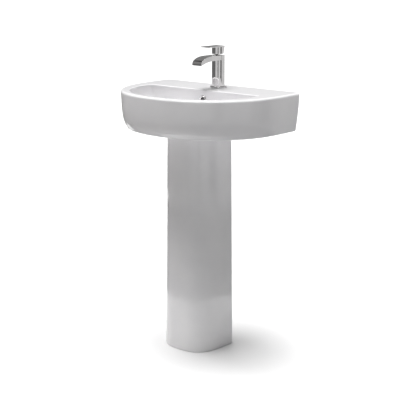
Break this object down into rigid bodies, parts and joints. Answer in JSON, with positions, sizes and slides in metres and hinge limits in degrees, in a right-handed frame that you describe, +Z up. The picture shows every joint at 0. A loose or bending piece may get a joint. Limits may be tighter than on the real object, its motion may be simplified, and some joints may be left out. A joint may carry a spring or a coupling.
{
  "type": "pedestal sink",
  "caption": "D-shaped ceramic basin on a full pedestal, with a lever mixer tap with arched spout, overflow, push-button waste and bottle trap.",
  "frame": {"origin": "bottom centre of the part's box, on the floor under the middle of the basin", "axes": "+Z up, +Y towards the wall, so the user stands at -Y; +X to the right of someone facing the basin"},
  "size_m": [0.566, 0.448, 0.986],
  "materials": {
    "glazed_ceramic": "white vitreous china, glossy glaze",
    "chrome": "polished chrome plate",
    "zinc_steel": "zinc plated",
    "brass": "machined brass",
    "copper": "drawn copper tube",
    "rubber": "black rubber",
    "nylon": "natural nylon",
    "white_plastic": "white polypropylene"
  },
  "bodies": {
    "basin_group": {"basin": "glazed_ceramic", "overflow_ring": "chrome", "pedestal": "glazed_ceramic", "seat_pads": "rubber", "wall_bolts": "zinc_steel", "bolt_sleeves": "nylon", "bolt_washers": "zinc_steel", "bolt_nuts": "zinc_steel", "waste_body": "chrome", "waste_top_seal": "rubber", "waste_lower_seal": "rubber", "waste_slip_washer": "nylon", "waste_back_nut": "brass", "plug_guide": "nylon", "trap_body": "white_plastic", "trap_inlet_nut": "white_plastic", "trap_inlet_seal": "rubber", "trap_bottle": "white_plastic", "bottle_seal": "rubber", "trap_outlet_nut": "white_plastic", "trap_outlet_seal": "rubber", "waste_pipe": "white_plastic", "tap_body": "chrome", "tap_base_ring": "chrome", "tap_base_seal": "rubber", "flow_guide": "nylon", "tap_stud": "zinc_steel", "horseshoe_seal": "rubber", "horseshoe_plate": "zinc_steel", "stud_nut": "brass", "hot_tail": "copper", "cold_tail": "copper", "tail_seals": "rubber", "tail_nuts": "brass", "tail_spigots": "copper", "cartridge": "nylon", "cartridge_nut": "brass", "cartridge_seals": "rubber"},
    "plug_group": {"plug": "chrome", "plug_seal": "rubber"},
    "swivel_group": {"stem_carrier": "nylon", "stem_pin": "zinc_steel"},
    "lever_group": {"stem": "zinc_steel", "lever": "chrome", "grub_screw": "zinc_steel", "screw_cap": "chrome"}
  },
  "joints": [
    {"name": "plug_press", "type": "slide", "parent": "basin_group", "child": "plug_group", "axis": [0, 0, 1], "range_m": [0, 0.008]},
    {"name": "lever_swivel", "type": "hinge", "parent": "basin_group", "child": "swivel_group", "pos_m": [0, 0.09, 0.955], "axis": [0, 0, 1], "range_deg": [-45, 45]},
    {"name": "lever_lift", "type": "hinge", "parent": "swivel_group", "child": "lever_group", "pos_m": [0, 0.09, 0.955], "axis": [-1, 0, 0], "range_deg": [0, 18]}
  ]
}
